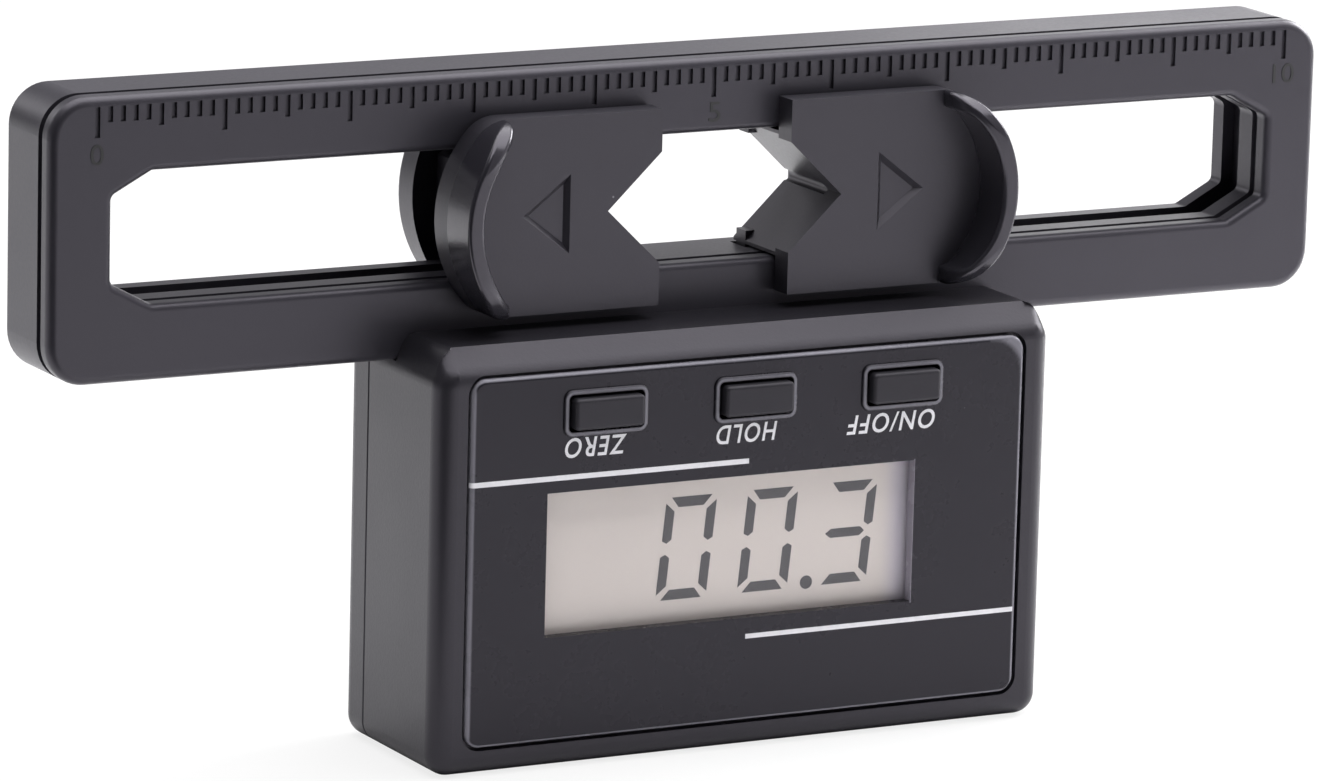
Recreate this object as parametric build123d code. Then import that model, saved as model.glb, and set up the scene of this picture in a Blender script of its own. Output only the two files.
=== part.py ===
"""Digital pitch gauge: slotted guide rail with two sprung V-jaws over a readout case.

Millimetres. X runs along the rail to the right, Y from front to rear, Z up.
The origin is the middle of the case's flat underside. The rail's front face
lies in the plane Y = 0.
"""
import os
from math import cos, radians, sin, sqrt

from build123d import *

os.makedirs("parts", exist_ok=True)

# Readout case
case_width = 51.6
case_depth = 15.6
case_height = 30.9
case_corner_r = 1.7
case_front_r = 1.5
case_rear_r = 1.5
case_wall = 1.5
case_front_wall = 2.2
case_rear_wall = 1.6
parting_y = 4.0
cover_chamfer = 0.25
lip_depth = 1.4
lip_wall = 0.8

# Guide rail
rail_length = 106.8
rail_height = 21.1
rail_thick = 7.8
rail_sink = 0.95
rail_corner_r = 3.0
rail_edge_r = 0.7
cover_thick = 1.4
back_thick = 1.45
seam_width = 0.7
seam_depth = 0.35
track_x = 0.3
slot_end_wall = 4.65
slot_height = 9.8
slot_cut_x = 3.2
slot_cut_z = 1.7
slot_corner_r = 0.6
slot_edge_r = 0.55
back_edge_r = 0.4
channel_width = 2.4
channel_depth = 2.5
channel_end = 1.0
lug_width = 8.0
lug_height = 7.6
lug_inset = 7.0

# Engraved scale, in millimetre steps
scale_step = 10
scale_margin = 3.0
scale_drop = 0.72
tick_width = 0.4
tick_depth = 0.25
tick_short = 1.15
tick_middle = 1.6
tick_long = 2.25

# Jaws, measured outwards from the middle of the slot
jaw_inner = 5.45
jaw_length = 17.7
jaw_height = 14.8
jaw_thick = 2.0
jaw_gap = 0.3
jaw_end_r = 9.5
jaw_corner_r = 3.0
vee_depth = 4.4
vee_opening = 8.4
vee_relief_r = 0.45
vee_set_back = 0.3
lip_height = 3.8
lip_thick = 1.3
lip_side_r = 3.4
lip_edge_r = 0.3
arrow_length = 3.9
arrow_height = 6.0
arrow_x = 13.0
arrow_depth = 0.4
arrow_slope = 0.4
slider_length = 13.4
slider_clear = 0.15
slider_rear = 6.3
tongue_thick = 1.45
tongue_reach = 0.8
rear_plate_inner = 12.3
rear_plate_outer = 20.85
rear_plate_thick = 2.8
rear_plate_end_r = 10.3
rear_plate_corner_r = 2.0
rear_edge_r = 0.6
stop_gap = 0.3

# Return springs
spring_d = 1.2
spring_wire = 0.24
spring_pin_d = 0.7
spring_anchor_inset = 2.55
eye_r = 0.56

# Panel, display and keys
panel_side_margin = 2.55
panel_low_margin = 2.15
panel_top_margin = 1.05
panel_corner_r = 1.2
panel_thick = 0.9
panel_proud = 0.15
panel_gap = 0.25
panel_edge_r = 0.35
window_x = -1.47
window_drop = 0.53
window_width = 30.95
window_height = 10.9
lens_margin = 1.0
lens_thick = 0.5
glass_thick = 1.5
keys_across = 3.72
key_x = 0.2
key_inset = 3.05
key_width = 6.2
key_height = 2.8
key_corner_r = 0.35
key_rim = 0.38
key_rim_height = 0.22
key_clear = 0.22
key_proud = 0.7
key_flange = 0.4
key_flange_thick = 0.6
key_travel = 0.5
key_edge_r = 0.3

# Electronics
board_thick = 1.2
board_y = -0.6
board_margin = 1.3
board_top_clear = 0.15
holder_wall = 1.4
strip_thick = 1.6
switch_width = 4.6
switch_height = 3.0
switch_depth = 3.4
plunger_d = 1.6
plunger_clear = 0.06
plunger_show = 0.6
plunger_depth = 1.3
key_boss_d = 2.4
chip_side = 7.0
chip_thick = 1.4
chip_inset = 5.3
chip_z = 11.5
sensor_width = 4.0
sensor_height = 5.0
sensor_thick = 1.5
sensor_inset = 6.8
sensor_z = 9.5
crystal_length = 6.0
crystal_d = 2.0
crystal_inset = 7.8
crystal_drop = 11.55
cell_d = 20.0
cell_thick = 3.2
cell_y = 1.8
cell_wall = 1.2
cell_clear = 0.15
holder_gap = 0.25
leaf_thick = 0.2
leaf_width = 5.0
leaf_span = 14.0
clip_overhang = 3.6

# Battery door
door_d = 22.8
door_flange = 0.8
door_clear = 0.2
spigot_d = 20.6
spigot_end_y = 5.5
bayonet_d = 22.2
bayonet_arc = 24.0
bayonet_thick = 0.6
bayonet_twist = 50.0
bayonet_count = 3
coin_slot_length = 13.0
coin_slot_width = 1.8
coin_slot_depth = 0.7

# Fasteners
case_screw_d = 1.8
case_screw_head_d = 3.4
case_screw_head = 1.0
case_screw_inset = 4.5
lug_screw_drop = 4.15
case_screw_length = 11.0
boss_d = 4.0
board_screw_x = 10.0
board_screw_z = 4.4
board_screw_d = 1.4
board_screw_head_d = 2.6
board_screw_head = 0.8
board_screw_length = 3.6
post_d = 3.2
back_screw_d = 1.2
back_screw_head_d = 2.4
back_screw_head = 0.6
back_screw_length = 4.4
back_screw_inset = 2.5
jaw_screw_d = 1.6
jaw_screw_head_d = 3.0
jaw_screw_head = 0.9
jaw_screw_x = 15.7
jaw_screw_spread = 5.4
jaw_screw_bite = 1.4
screw_clear = 0.15
fit = 0.1

# Levels and planes that follow from the sizes above
rail_z = case_height - rail_sink
slot_length = rail_length - 2 * slot_end_wall
scale_span = scale_step * int((rail_length - 2 * scale_margin) / scale_step)
spring_anchor_x = slot_length / 2 - spring_anchor_inset
panel_width = case_width - 2 * panel_side_margin
panel_height = case_height - panel_low_margin - panel_top_margin
panel_z = panel_low_margin + panel_height / 2
window_z = panel_z - window_drop
key_pitch = panel_width / keys_across
key_z = case_height - panel_top_margin - key_inset
cell_z = case_wall + fit + lip_wall + holder_gap + cell_wall + cell_clear + cell_d / 2
crystal_z = rail_z - crystal_drop
board_half = case_width / 2 - case_wall - board_margin
lug_x = case_width / 2 - lug_inset
lug_screw_z = rail_z - lug_screw_drop
case_front = -case_depth / 2
case_rear = case_depth / 2
cavity_front = case_front + case_front_wall
cavity_rear = case_rear - case_rear_wall
rail_front = case_rear - rail_thick
rail_rear = case_rear
frame_front = rail_front + cover_thick
frame_rear = rail_rear - back_thick
track_z = rail_z + rail_height / 2
channel_front = frame_rear - channel_width
panel_front = case_front - panel_proud
panel_rear = panel_front + panel_thick
lens_rear = panel_rear + lens_thick
glass_rear = lens_rear + glass_thick
board_rear = board_y + board_thick
plate_rear = rail_front - jaw_gap
plate_front = plate_rear - jaw_thick
lip_front = plate_front - lip_height
rear_plate_front = rail_rear + jaw_gap
jaw_outer = jaw_inner + jaw_length
slider_outer = jaw_inner + slider_length
spring_level = slot_height / 2 + channel_depth - spring_d / 2 - 0.15
spring_start = jaw_inner + 1.6
spring_y = (channel_front + frame_rear) / 2
key_places = {"zero": key_x - key_pitch, "hold": key_x, "power": key_x + key_pitch}


def block(x0, x1, y0, y1, z0, z1):
    """Box between two opposite corners."""
    middle = Pos((x0 + x1) / 2, (y0 + y1) / 2, (z0 + z1) / 2)
    return middle * Box(x1 - x0, y1 - y0, z1 - z0)


def slab(profile, y0, y1):
    """Profile drawn in X and Z, given a thickness from y0 back to y1."""
    return extrude(Plane.XZ.offset(-y1) * profile, y1 - y0)


def rod(x, z, diameter, y0, y1):
    """Round bar along Y."""
    return slab(Pos(x, z) * Circle(diameter / 2), y0, y1)


def rounded(width, height, radius, x=0.0, z=0.0):
    """Rectangle with round corners, about a centre in X and Z."""
    return Pos(x, z) * RectangleRounded(width, height, radius)


def face_edges(solid, y):
    """Edges that lie wholly in the plane at y."""
    return [e for e in solid.edges() if abs(e.bounding_box().min.Y - y) < 1e-4
            and abs(e.bounding_box().max.Y - y) < 1e-4]


def mirrored(shape):
    """The same piece on the other side of the slot's middle."""
    return mirror(shape, about=Plane.YZ.offset(track_x))


def countersunk(x, z, shaft_d, head_d, head, tip_y, face_y, slot_width=0.45):
    """Screw along Y with its flat head flush at face_y and a driver slot."""
    cone_end = face_y - head
    shaft = rod(x, z, shaft_d, tip_y, cone_end)
    wide = Plane.XZ.offset(-face_y) * (Pos(x, z) * Circle(head_d / 2))
    narrow = Plane.XZ.offset(-cone_end) * (Pos(x, z) * Circle(shaft_d / 2))
    cone = loft([narrow, wide])
    half = slot_width / 2
    slot = block(x - head_d, x + head_d, face_y - head / 2, face_y + head, z - half, z + half)
    return shaft + cone - slot


def screw_way(x, z, shaft_d, head_d, head, tip_y, face_y):
    """Clear space for a countersunk screw, with its head's cone."""
    shaft = rod(x, z, shaft_d + 2 * screw_clear, tip_y, face_y)
    cone_end = face_y - head
    wide = Plane.XZ.offset(-face_y) * (Pos(x, z) * Circle(head_d / 2 + screw_clear))
    narrow = Plane.XZ.offset(-cone_end) * (Pos(x, z) * Circle(shaft_d / 2 + screw_clear))
    return shaft + loft([narrow, wide])


def slot_profile(grow_x=0.0, grow_z=0.0):
    """The slot's outline: a long rectangle with cut corners."""
    half_x = slot_length / 2 + grow_x
    half_z = slot_height / 2 + grow_z
    corner = [(half_x, half_z - slot_cut_z), (half_x - slot_cut_x, half_z)]
    upper = corner + [(-x, z) for x, z in reversed(corner)]
    lower = [(x, -z) for x, z in reversed(upper)]
    face = make_face(Polyline(*upper, *lower, close=True))
    return Pos(track_x, track_z) * fillet(face.vertices(), slot_corner_r)


def jaw_profile(inner, outer, height, end_r, corner_r):
    """Plate outline of the right jaw: straight inner end, bowed outer end."""
    half = height / 2
    corner = outer - end_r + sqrt(end_r**2 - half**2)
    sides = Polyline((corner, half), (inner, half), (inner, -half), (corner, -half))
    end = ThreePointArc((corner, -half), (outer, 0), (corner, half))
    face = make_face([sides, end])
    tips = [v for v in face.vertices() if abs(v.X - corner) < 1e-3]
    return Pos(track_x, track_z) * fillet(tips, corner_r)


def vee_profile(set_back=0.0):
    """Plain V notch."""
    slope = vee_opening / 2 / vee_depth
    root = jaw_inner + vee_depth + set_back
    mouth = jaw_inner - 1
    half = (root - mouth) * slope
    notch = make_face(Polyline((root, 0), (mouth, half), (mouth, -half), close=True))
    return Pos(track_x, track_z) * notch


def vee_relief():
    """Round groove along the root of the slider's notch."""
    root = jaw_inner + vee_depth + vee_set_back
    return Pos(track_x + root - vee_relief_r, track_z) * Circle(vee_relief_r)


def outer_edges(solid, y):
    """Edges in the plane at y that lie outside the slot."""
    reach_x = slot_length / 2 + 0.5
    reach_z = slot_height / 2 + 0.5
    return [e for e in face_edges(solid, y) if abs(e.center().Z - track_z) > reach_z
            or abs(e.center().X - track_x) > reach_x]


def slot_edges(solid, y):
    """Edges in the plane at y that go round the slot."""
    outside = outer_edges(solid, y)
    return [e for e in face_edges(solid, y) if e not in outside]


def rail_blank(y0, y1):
    return slab(rounded(rail_length, rail_height, rail_corner_r, 0, track_z), y0, y1)


def back_screw_places():
    """The four corners of the rail's back plate."""
    side = rail_length / 2 - back_screw_inset
    height = rail_height / 2 - back_screw_inset
    corners = [(sx * side, sz * height) for sx in (-1, 1) for sz in (-1, 1)]
    return [(x, track_z + z) for x, z in corners]


def make_rail_cover():
    """Front cover with the slot and the engraved millimetre scale."""
    cover = rail_blank(rail_front, frame_front)
    cover = fillet(face_edges(cover, rail_front), rail_edge_r)
    cover -= slab(slot_profile(), rail_front - 1, frame_front + 1)
    cover = fillet(slot_edges(cover, rail_front), slot_edge_r)
    top = rail_z + rail_height - scale_drop
    marks = []
    for step in range(scale_span + 1):
        x = track_x + step - scale_span / 2
        length = tick_long if step % scale_step == 0 else tick_middle if step % 5 == 0 else tick_short
        half = tick_width / 2
        marks.append(block(x - half, x + half, rail_front - 1, rail_front + tick_depth, top - length, top))
    return cover - marks


def make_rail_frame():
    """Middle of the rail: slot, jaw channel, spring anchors, stops and lugs."""
    frame = rail_blank(frame_front, frame_rear)
    seam_rear = frame_front + seam_width
    inner = rounded(rail_length - 2 * seam_depth, rail_height - 2 * seam_depth,
                    rail_corner_r - seam_depth, 0, track_z)
    frame -= rail_blank(frame_front - 1, seam_rear) - slab(inner, frame_front - 2, seam_rear + 1)
    frame -= slab(slot_profile(), frame_front - 1, frame_rear + 1)
    frame -= slab(slot_profile(seam_depth, seam_depth), frame_front - 1, seam_rear)
    frame -= slab(slot_profile(channel_end, channel_depth), channel_front, frame_rear + 1)
    stop_half = jaw_inner - stop_gap
    for side in (-1, 1):
        low = track_z + side * slot_height / 2
        high = low + side * (tongue_reach + fit)
        frame += block(track_x - stop_half, track_x + stop_half, channel_front - fit, frame_rear,
                       min(low, high), max(low, high))
        pin_x = track_x + side * spring_anchor_x
        pin_z = track_z + side * spring_level
        frame += rod(pin_x, pin_z, spring_pin_d, channel_front - fit, frame_rear)
        x = side * lug_x
        frame += block(x - lug_width / 2, x + lug_width / 2, frame_front + fit, cavity_rear - fit,
                       rail_z - lug_height, rail_z + 1)
        frame -= rod(x, lug_screw_z, case_screw_d + 2 * screw_clear, frame_front - 1, frame_rear + 1)
    tip = rail_rear - back_screw_length - fit
    for x, z in back_screw_places():
        frame -= rod(x, z, back_screw_d + 2 * screw_clear, tip, frame_rear + 1)
    return frame


def make_rail_back():
    """Back plate that closes the channel."""
    plate = rail_blank(frame_rear, rail_rear)
    plate = fillet(face_edges(plate, rail_rear), back_edge_r)
    plate -= slab(slot_profile(), frame_rear - 1, rail_rear + 1)
    for x, z in back_screw_places():
        plate -= screw_way(x, z, back_screw_d, back_screw_head_d, back_screw_head, frame_rear - 1, rail_rear)
    return plate


def make_back_screws():
    tip = rail_rear - back_screw_length
    return [countersunk(x, z, back_screw_d, back_screw_head_d, back_screw_head, tip, rail_rear)
            for x, z in back_screw_places()]


def arrow_recess():
    """Sunk triangle that points outwards, with sloped walls."""
    half = arrow_height / 2
    corners = [(arrow_x, half), (arrow_x, -half), (arrow_x + arrow_length, 0)]
    mouth = make_face(Polyline(*corners, close=True))
    floor = offset(mouth, -arrow_slope, kind=Kind.INTERSECTION)
    plane = Plane.XZ.offset(-plate_front)
    levels = [(0, mouth), (-arrow_depth, floor)]
    return loft([plane.offset(level) * (Pos(track_x, track_z) * face) for level, face in levels])


def make_jaw_plate():
    """Right front plate: V notch, sunk arrow and a curved lip for the thumb."""
    outline = jaw_profile(jaw_inner, jaw_outer, jaw_height, jaw_end_r, jaw_corner_r)
    plate = slab(outline, plate_front, plate_rear)
    inside = jaw_profile(jaw_inner, jaw_outer - lip_thick, jaw_height - 2 * lip_thick,
                         jaw_end_r - lip_thick, jaw_corner_r - lip_thick)
    wall = slab(outline, lip_front, plate_front) - slab(inside, lip_front - 1, plate_front)
    bottom = track_z - jaw_height / 2
    side_view = Pos((lip_front + plate_rear) / 2, track_z) * Rectangle(plate_rear - lip_front, jaw_height)
    side_tips = [v for v in side_view.vertices() if abs(v.X - lip_front) < 1e-3]
    side_view = fillet(side_tips, lip_side_r)
    across = extrude(Plane.YZ.offset(track_x) * side_view, jaw_outer + 1)
    start = track_x + jaw_outer - lip_side_r - lip_thick
    end = track_x + jaw_outer + lip_thick
    depth = plate_rear - lip_front
    top_view = Pos((start + end) / 2, (lip_front + plate_rear) / 2) * Rectangle(end - start, depth)
    top_tips = [v for v in top_view.vertices() if v.X < start + 1e-3 and v.Y < lip_front + 1e-3]
    top_view = fillet(top_tips, lip_side_r)
    along = extrude(Plane.XY.offset(bottom - 1) * top_view, jaw_height + 2)
    plate += wall & across & along
    rim = [e for e in plate.edges() if e.bounding_box().min.Y < plate_front - lip_edge_r]
    plate = fillet(rim, lip_edge_r)
    plate -= slab(vee_profile(), plate_front - 1, plate_rear + 1)
    plate -= arrow_recess()
    for x, z in jaw_screw_places():
        tip = plate_rear - jaw_screw_bite - fit
        plate -= rod(x, z, jaw_screw_d + 2 * screw_clear, tip, plate_rear + 1)
    return plate


def jaw_screw_places():
    return [(track_x + jaw_screw_x, track_z + side * jaw_screw_spread / 2) for side in (-1, 1)]


def make_slider(spring_side):
    """Right slider: the V block in the slot, with tongues in the channel and a spring pin."""
    half = slot_height / 2 - slider_clear
    cut = [(slider_outer, half - slot_cut_z), (slider_outer - slot_cut_x, half)]
    points = [(jaw_inner, half), (jaw_inner, -half)]
    points += [(x, -z) for x, z in reversed(cut)] + cut
    outline = Pos(track_x, track_z) * make_face(Polyline(*points, close=True))
    body = slab(outline, plate_rear, rear_plate_front)
    body -= block(track_x, track_x + rear_plate_inner, slider_rear, rear_plate_front + 1,
                  track_z - slot_height, track_z + slot_height)
    body -= slab(vee_profile(vee_set_back) + vee_relief(), plate_rear - 1, slider_rear + 1)
    tongue_front = spring_y - tongue_thick / 2
    for side in (-1, 1):
        low = track_z + side * (half - 1)
        high = track_z + side * (slot_height / 2 + tongue_reach)
        body += block(track_x + jaw_inner, track_x + slider_outer - slot_cut_x, tongue_front,
                      tongue_front + tongue_thick, min(low, high), max(low, high))
    pin_x = track_x + spring_start
    pin_z = track_z + spring_side * spring_level
    foot = track_z + spring_side * (slot_height / 2 + tongue_reach - 0.2)
    tip = track_z + spring_side * (spring_level + spring_pin_d / 2)
    web = spring_pin_d * 0.6
    body += block(pin_x - web, pin_x + web, tongue_front, tongue_front + web,
                  min(foot, tip), max(foot, tip))
    body += rod(pin_x, pin_z, spring_pin_d, tongue_front, tongue_front + tongue_thick)
    for x, z in jaw_screw_places():
        body -= rod(x, z, jaw_screw_d + 2 * screw_clear, plate_rear - 1, rear_plate_front + 1)
    return body


def make_rear_plate():
    """Plate behind the rail that holds the right slider in the slot."""
    outline = jaw_profile(rear_plate_inner, rear_plate_outer, jaw_height,
                          rear_plate_end_r, rear_plate_corner_r)
    rear = rear_plate_front + rear_plate_thick
    plate = slab(outline, rear_plate_front, rear)
    plate = fillet(face_edges(plate, rear), rear_edge_r)
    for x, z in jaw_screw_places():
        plate -= screw_way(x, z, jaw_screw_d, jaw_screw_head_d, jaw_screw_head, rear_plate_front - 1, rear)
    return plate


def make_jaw_screws():
    rear = rear_plate_front + rear_plate_thick
    tip = plate_rear - jaw_screw_bite
    return [countersunk(x, z, jaw_screw_d, jaw_screw_head_d, jaw_screw_head, tip, rear)
            for x, z in jaw_screw_places()]


def make_spring(from_x, to_x, level):
    """Close-wound return spring, with a hooked eye at each end."""
    low, high = sorted((track_x + from_x, track_x + to_x))
    middle_z = track_z + level
    inset = eye_r + spring_wire / 2
    coil = Plane.YZ.offset(low + inset) * (Pos(spring_y, middle_z) * Circle(spring_d / 2))
    body = extrude(coil, high - low - 2 * inset)
    bore = Plane.YZ.offset(low + inset) * (Pos(spring_y, middle_z) * Circle(spring_d / 2 - spring_wire))
    body -= extrude(bore, high - low - 2 * inset)
    front = spring_y - spring_wire / 2
    rear = spring_y + spring_wire / 2
    for x in (low, high):
        ring = Circle(eye_r + spring_wire / 2) - Circle(eye_r - spring_wire / 2)
        eye = slab(Pos(x, middle_z) * ring, front, rear)
        inward = 1 if x == low else -1
        reach = x + inward * (inset + spring_wire)
        near = x + inward * (eye_r - spring_wire / 2)
        neck = block(min(near, reach), max(near, reach), front, rear,
                     middle_z - spring_d / 2, middle_z + spring_d / 2)
        body += eye + neck
    return body


def case_body():
    """The closed outside of the readout case, with the ledge that carries the rail."""
    body = slab(rounded(case_width, case_height, case_corner_r, 0, case_height / 2), case_front, case_rear)
    body = fillet(face_edges(body, case_front), case_front_r)
    body = fillet(face_edges(body, case_rear), case_rear_r)
    reach = case_width
    return body - block(-reach, reach, rail_front, case_rear + 1, rail_z, case_height + 1)


def cavity_profile(inset=0.0):
    width = case_width - 2 * case_wall - 2 * inset
    height = rail_z - 2 * case_wall - 2 * inset
    return rounded(width, height, case_corner_r - case_wall, 0, rail_z / 2)


def cavity():
    """Hollow of the case; it is higher in front of the rail."""
    hollow = slab(cavity_profile(), cavity_front, cavity_rear)
    half = case_width / 2 - case_wall
    top = case_height - case_wall
    return hollow + block(-half + fit, half - fit, cavity_front, rail_front - case_wall, rail_z / 2, top)


def lug_ways():
    """Openings in the case's top for the rail's lugs."""
    half = lug_width / 2 + fit
    return [block(x - half, x + half, frame_front, cavity_rear, rail_z - lug_height - fit, rail_z + 1)
            for x in (-lug_x, lug_x)]


def case_screw_places():
    side = case_width / 2 - case_screw_inset
    low = [(sx * side, case_screw_inset) for sx in (-1, 1)]
    return low + [(sx * lug_x, lug_screw_z) for sx in (-1, 1)]


def panel_outline(grow=0.0):
    return rounded(panel_width + 2 * grow, panel_height + 2 * grow, panel_corner_r + grow, 0, panel_z)


def lens_outline(grow=0.0):
    width = window_width + 2 * lens_margin + 2 * grow
    height = window_height + 2 * lens_margin + 2 * grow
    return Pos(window_x, window_z) * Rectangle(width, height)


def key_outline(x, grow=0.0):
    radius = key_corner_r + max(grow, 0)
    return rounded(key_width + 2 * grow, key_height + 2 * grow, radius, x, key_z)


def make_front_case():
    """Front shell: recess for the panel, display and key openings, bosses and posts."""
    shell = case_body()
    shell -= block(-case_width, case_width, parting_y, case_rear + 1, -1, case_height + 1)
    shell -= cavity()
    shell -= slab(panel_outline(panel_gap), case_front - 1, panel_rear)
    shell -= slab(lens_outline(fit / 2), panel_rear - 1, cavity_front + 1)
    for x in key_places.values():
        shell -= slab(key_outline(x, key_clear), case_front - 1, cavity_front + 1)
    for x, z in case_screw_places():
        rear = frame_front if z == lug_screw_z else parting_y
        shell += rod(x, z, boss_d, cavity_front, rear)
        tip = case_rear - case_screw_length - fit
        shell -= rod(x, z, case_screw_d + 2 * screw_clear, tip, parting_y + 1)
    for x in (-board_screw_x, board_screw_x):
        tip = board_rear - board_screw_length - fit
        shell += rod(x, board_screw_z, post_d, cavity_front, board_y)
        shell -= rod(x, board_screw_z, board_screw_d + 2 * screw_clear, tip, board_y + 1)
    return shell - lug_ways()


def sector(radius, arc, angle):
    """Pie slice about the door's centre."""
    steps = [angle - arc / 2, angle, angle + arc / 2]
    points = [(radius * cos(radians(a)), radius * sin(radians(a))) for a in steps]
    face = make_face([Line((0, 0), points[0]), ThreePointArc(*points), Line(points[2], (0, 0))])
    return Pos(0, cell_z) * face


def bayonet_angles(turn=0.0):
    return [90 + 360 / bayonet_count * i - turn for i in range(bayonet_count)]


def make_rear_cover():
    """Rear shell: inner lip, screw bosses and the bayonet mouth for the battery door."""
    shell = case_body()
    shell -= block(-case_width, case_width, case_front - 1, parting_y, -1, case_height + 1)
    shell = chamfer(face_edges(shell, parting_y), cover_chamfer)
    shell -= slab(cavity_profile(), parting_y - 1, cavity_rear)
    lip = slab(cavity_profile(fit), parting_y - lip_depth, parting_y + fit)
    lip += slab(cavity_profile(), parting_y, parting_y + case_wall)
    lip_front = parting_y - lip_depth
    lip -= rod(0, cell_z, cell_d + 2 * (cell_clear + cell_wall + fit), lip_front - 1, parting_y + case_wall + 1)
    shell += lip - slab(cavity_profile(fit + lip_wall), lip_front - 1, parting_y + case_wall + 1)
    for x, z in case_screw_places():
        if z == case_screw_inset:
            shell += rod(x, z, boss_d, parting_y, case_rear - case_screw_head)
        shell -= screw_way(x, z, case_screw_d, case_screw_head_d, case_screw_head, parting_y - 1, case_rear)
    shell -= rod(0, cell_z, door_d + 2 * door_clear, case_rear - door_flange - fit, case_rear + 1)
    shell -= rod(0, cell_z, spigot_d + 2 * door_clear, parting_y, case_rear)
    for angle in bayonet_angles(bayonet_twist):
        way = sector(bayonet_d / 2 + door_clear, bayonet_arc * 1.3, angle)
        shell -= slab(way, parting_y, case_rear - door_flange)
    return shell - lug_ways()


def make_battery_door():
    """Round door with a coin slot and three bayonet lugs."""
    door = rod(0, cell_z, door_d, case_rear - door_flange, case_rear)
    door += rod(0, cell_z, spigot_d, spigot_end_y, case_rear - door_flange)
    for angle in bayonet_angles():
        door += slab(sector(bayonet_d / 2, bayonet_arc, angle), spigot_end_y, spigot_end_y + bayonet_thick)
    slot = rounded(coin_slot_length, coin_slot_width, coin_slot_width / 2.01, 0, cell_z)
    door -= slab(slot, case_rear - coin_slot_depth, case_rear + 1)
    return door - rod(0, cell_z, spigot_d - 2 * cell_wall, spigot_end_y - 1, spigot_end_y + cell_wall)


def make_case_screws():
    tip = case_rear - case_screw_length
    return [countersunk(x, z, case_screw_d, case_screw_head_d, case_screw_head, tip, case_rear)
            for x, z in case_screw_places()]


def make_panel():
    """Front panel with the display window and three rimmed key openings."""
    panel = slab(panel_outline(), panel_front, panel_rear)
    panel = fillet(face_edges(panel, panel_front), panel_edge_r)
    window = Pos(window_x, window_z) * Rectangle(window_width, window_height)
    panel -= slab(window, panel_front - 1, panel_rear + 1)
    for x in key_places.values():
        rim = slab(key_outline(x, key_rim), panel_front - key_rim_height, panel_front)
        rim = fillet(face_edges(rim, panel_front - key_rim_height), key_rim_height * 0.8)
        panel = panel + rim - slab(key_outline(x), panel_front - 1, panel_rear + 1)
    return panel


def make_key(x):
    """Proud key: rounded head, retaining flange and a boss that bears on its plunger."""
    front = panel_front - key_rim_height - key_proud
    key = slab(key_outline(x, -key_clear), front, cavity_front + key_flange_thick + fit)
    key = fillet(face_edges(key, front), key_edge_r)
    flange_front = cavity_front + fit
    key += slab(key_outline(x, key_flange), flange_front, flange_front + key_flange_thick)
    return key + rod(x, key_z, key_boss_d, cavity_front + fit, plunger_front)


def make_plunger(x):
    return rod(x, key_z, plunger_d, plunger_front, switch_front + plunger_depth)


def make_switch(x):
    """Tact switch body with the bore that guides its plunger."""
    half_x = switch_width / 2
    half_z = switch_height / 2
    body = block(x - half_x, x + half_x, switch_front, board_y, key_z - half_z, key_z + half_z)
    bore_end = switch_front + plunger_depth + key_travel + fit
    return body - rod(x, key_z, plunger_d + 2 * plunger_clear, switch_front - 1, bore_end)


def make_holder():
    """Frame between the front wall and the board that lines up the glass and its contact strips."""
    frame = slab(lens_outline(holder_wall), cavity_front, board_y)
    frame -= slab(lens_outline(fit), cavity_front - 1, glass_rear)
    inside = Pos(window_x, window_z) * Rectangle(window_width, window_height + 2 * lens_margin)
    return frame - slab(inside, glass_rear - fit, board_y + 1)


def make_strip(side):
    """Elastomer contact strip between the glass and the board."""
    z = window_z + side * (window_height / 2 + lens_margin - strip_thick / 2 - fit)
    half = window_width / 2 - fit
    return block(window_x - half, window_x + half, glass_rear, board_y,
                 z - strip_thick / 2, z + strip_thick / 2)


def make_board():
    """Circuit board, notched round the bosses."""
    bottom = case_wall + board_margin
    top = rail_z - case_wall - board_top_clear
    board = block(-board_half, board_half, board_y, board_rear, bottom, top)
    half = boss_d / 2 + 2 * fit
    for x, z in case_screw_places():
        edge = top + 1 if z == lug_screw_z else bottom - 1
        board -= rod(x, z, 2 * half, board_y - 1, board_rear + 1)
        board -= block(x - half, x + half, board_y - 1, board_rear + 1, min(z, edge), max(z, edge))
    for x in (-board_screw_x, board_screw_x):
        board -= rod(x, board_screw_z, board_screw_d + 2 * screw_clear, board_y - 1, board_rear + 1)
    return board


def make_board_screws():
    """Cheese-head screws that hold the board to its posts."""
    screws = []
    for x in (-board_screw_x, board_screw_x):
        screw = rod(x, board_screw_z, board_screw_d, board_rear - board_screw_length, board_rear)
        head = rod(x, board_screw_z, board_screw_head_d, board_rear, board_rear + board_screw_head)
        top = board_rear + board_screw_head
        slot = block(x - board_screw_head_d, x + board_screw_head_d, top - board_screw_head / 2, top + 1,
                     board_screw_z - 0.2, board_screw_z + 0.2)
        screws.append(screw + head - slot)
    return screws


def make_chip():
    x = chip_inset - board_half
    half = chip_side / 2
    rear = board_rear + chip_thick
    chip = block(x - half, x + half, board_rear, rear, chip_z - half, chip_z + half)
    return chip - rod(x - half / 1.5, chip_z + half / 1.5, half / 4, rear - chip_thick / 7, rear + 1)


def make_sensor():
    x = board_half - sensor_inset
    return block(x - sensor_width / 2, x + sensor_width / 2, board_rear, board_rear + sensor_thick,
                 sensor_z - sensor_height / 2, sensor_z + sensor_height / 2)


def make_crystal():
    """Crystal can lying on the board."""
    end = Pos(board_half - crystal_inset, board_rear + crystal_d / 2) * Circle(crystal_d / 2)
    return extrude(Plane.XY.offset(crystal_z - crystal_length / 2) * end, crystal_length)


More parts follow.
